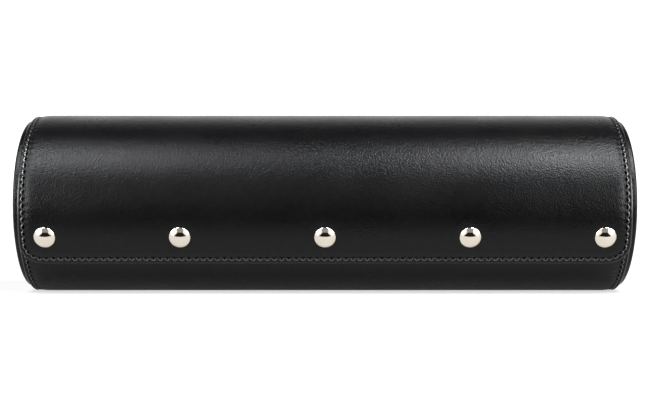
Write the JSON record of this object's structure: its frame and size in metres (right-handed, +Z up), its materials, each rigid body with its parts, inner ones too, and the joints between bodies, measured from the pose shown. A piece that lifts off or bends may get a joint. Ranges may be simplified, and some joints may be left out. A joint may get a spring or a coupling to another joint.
{
  "type": "watch roll",
  "caption": "Cylindrical leather-covered watch roll with a hinged snap flap, sewn round end covers, dividers and watch cushions.",
  "frame": {"origin": "middle of the flat under the roll, on the surface that it rests on", "axes": "+X along the roll to its right end seen from the front, -Y out of the front, where the snaps are, +Z up"},
  "size_m": [0.3484, 0.107, 0.1037],
  "materials": {
    "outer_leather": "smooth black leather with a soft satin sheen and fine grain",
    "board": "plain stiffening board",
    "suede": "matt greige suede lining",
    "cushion_suede": "matt greige suede cushion cover",
    "foam": "open-cell foam",
    "snap_metal": "polished champagne-nickel plate",
    "spring_steel": "bright spring wire"
  },
  "bodies": {
    "body": {"body_leather": "outer_leather", "body_board": "board", "body_lining": "suede", "hinge_strip": "outer_leather", "end_cover_left": "outer_leather", "end_cover_right": "outer_leather", "end_board_left": "board", "end_board_right": "board", "end_lining_left": "suede", "end_lining_right": "suede", "divider_board_1": "board", "divider_board_2": "board", "divider_board_3": "board", "divider_board_4": "board", "divider_cover_1": "suede", "divider_cover_2": "suede", "divider_cover_3": "suede", "divider_cover_4": "suede", "cushion_cover_1": "cushion_suede", "cushion_cover_2": "cushion_suede", "cushion_cover_3": "cushion_suede", "cushion_cover_4": "cushion_suede", "cushion_cover_5": "cushion_suede", "cushion_foam_1": "foam", "cushion_foam_2": "foam", "cushion_foam_3": "foam", "cushion_foam_4": "foam", "cushion_foam_5": "foam", "snap_studs": "snap_metal", "snap_eyelets": "snap_metal"},
    "flap": {"flap_leather": "outer_leather", "flap_board": "board", "flap_lining": "suede", "snap_caps": "snap_metal", "snap_sockets": "snap_metal", "snap_springs": "spring_steel"}
  },
  "joints": [
    {"name": "flap_open", "type": "hinge", "parent": "body", "child": "flap", "pos_m": [0, 0.0261, 0.09671], "axis": [-1, 0, 0], "range_deg": [0, 170], "deforming": ["hinge_strip", "snap_springs"]}
  ]
}
